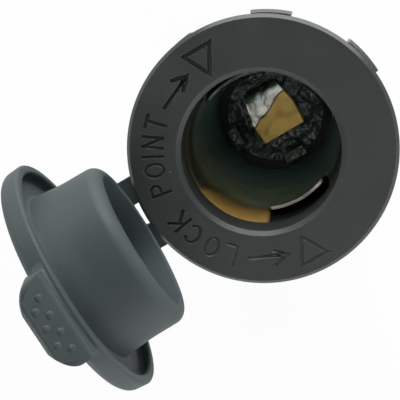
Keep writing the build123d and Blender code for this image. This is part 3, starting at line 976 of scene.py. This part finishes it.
stageLook = {"floorZ": -64.0, "floorSize": 16.0, "floorColour": (0.92, 0.92, 0.92), "floorRoughness": 0.9,
             "floorWhite": 0.93, "whiteReach": (0.2, 0.9),
             "zenith": 0.32, "zenithFrom": 0.86, "zenithTo": 0.97,
             "walls": ((150.0, 2.0), (240.0, 4.2)), "wallSpread": 0.9, "wallTop": 0.5, "wallFull": 0.15,
             "mirrorTop": 0.25, "mirrorFull": 0.05,
             "ambientColour": (0.97, 1.0, 1.0)}


def makeFloor(look):
    build = bmesh.new()
    bmesh.ops.create_grid(build, x_segments=1, y_segments=1, size=look["floorSize"] / 2)
    mesh = bpy.data.meshes.new("studio_floor")
    build.to_mesh(mesh)
    build.free()
    mesh.transform(Matrix.Translation((0, 0, look["floorZ"] * mm)))
    finish, tree, shader = newFinish("floorPaper")
    shader.inputs["Base Color"].default_value = rgba(look["floorColour"])
    shader.inputs["Roughness"].default_value = look["floorRoughness"]
    paths = tree.nodes.new("ShaderNodeLightPath").outputs
    white = addNode(tree, "ShaderNodeEmission", {"Color": (1, 1, 1, 1), "Strength": 1.0})
    looked = calc(tree, "MAXIMUM", paths["Is Camera Ray"], calc(tree, "MAXIMUM", paths["Is Glossy Ray"],
                                                                paths["Is Transmission Ray"]))
    away = addNode(tree, "ShaderNodeVectorMath", {0: objectPlace(tree)}, operation="LENGTH").outputs["Value"]
    seen = calc(tree, "MULTIPLY", looked, ramp(tree, away, *look["whiteReach"], look["floorWhite"], 1.0))
    paper = addNode(tree, "ShaderNodeMixShader", {0: seen, 1: shader.outputs[0], 2: white.outputs[0]})
    clear = tree.nodes.new("ShaderNodeBsdfTransparent").outputs[0]
    fromBelow = tree.nodes.new("ShaderNodeNewGeometry").outputs["Backfacing"]
    both = addNode(tree, "ShaderNodeMixShader", {0: fromBelow, 1: paper.outputs[0], 2: clear})
    tree.links.new(both.outputs[0], tree.nodes["Material Output"].inputs["Surface"])
    mesh.materials.append(finish)
    newPiece("studio_floor", mesh)


def makeWorld(look):
    world = bpy.data.worlds.new("studioWorld")
    scene.world = world
    world.use_nodes = True
    tree = world.node_tree
    soft = tree.nodes["Background"]
    soft.inputs["Color"].default_value = rgba(look["ambientColour"])
    direction = tree.nodes.new("ShaderNodeTexCoord").outputs["Generated"]
    height = splitAxes(tree, direction)["Z"]
    wall = ramp(tree, height, look["wallTop"], look["wallFull"])
    light = ramp(tree, height, look["zenithFrom"], look["zenithTo"], 0.0, look["zenith"])
    for azimuth, strength in look["walls"]:  # soft bright sides, the ceiling stays dim
        side = dotProduct(tree, direction, levelDirection(azimuth))
        glow = calc(tree, "MULTIPLY", wall, ramp(tree, side, 0.0, look["wallSpread"], 0.0, strength))
        light = calc(tree, "ADD", light, glow)
    paths = tree.nodes.new("ShaderNodeLightPath").outputs
    low = ramp(tree, height, look["mirrorTop"], look["mirrorFull"])
    mirrored = calc(tree, "MULTIPLY", paths["Is Glossy Ray"], low)  # shiny parts show the white backdrop too
    feed(tree, soft.inputs["Strength"], calc(tree, "MAXIMUM", light, mirrored))
    white = addNode(tree, "ShaderNodeBackground", {"Color": (1, 1, 1, 1), "Strength": 1.0})
    seen = calc(tree, "MAXIMUM", paths["Is Camera Ray"], paths["Is Transmission Ray"])
    both = addNode(tree, "ShaderNodeMixShader", {0: seen, 1: soft.outputs[0], 2: white.outputs[0]})
    tree.links.new(both.outputs[0], tree.nodes["World Output"].inputs["Surface"])


lamps = [  # name, place and aim in millimetres, width and height in metres, power in watts
    ("lowSoftbox", (269, 321, 29), (-8, 0, 5), 0.68, 0.14, 1.65),
    ("highSoftbox", (202, 323, 178), (-8, 0, 5), 0.3, 0.2, 1.55),
    ("fillLamp", (75, -130, 60), (-10, 0, 10), 0.12, 0.12, 0.07),
    ("topSoftbox", (-40, -170, 370), (0, 0, -10), 0.16, 0.16, 0.18),
    ("boreLamp", (-40, -35, 400), (0, 0, -40), 0.1, 0.1, 0.03),
    ("deepLamp", (22, 78, 400), (0, -4, -42), 0.09, 0.09, 0.05),
]


def makeLamp(name, place, aim, width, height, power):
    data = bpy.data.lights.new(name, "AREA")
    data.shape, data.size, data.size_y, data.energy = "RECTANGLE", width, height, power
    lamp = bpy.data.objects.new(name, data)
    lamp.visible_camera = False
    scene.collection.objects.link(lamp)
    turn = (Vector(place) - Vector(aim)).to_track_quat("Z", "Y").to_matrix().to_4x4()
    lamp.matrix_world = Matrix.Translation(Vector(place) * mm) @ turn


makeCamera(cameraView)
makeFloor(stageLook)
makeWorld(stageLook)
for lamp in lamps:
    makeLamp(*lamp)
scene.view_settings.view_transform = "Standard"
print("stage ready")
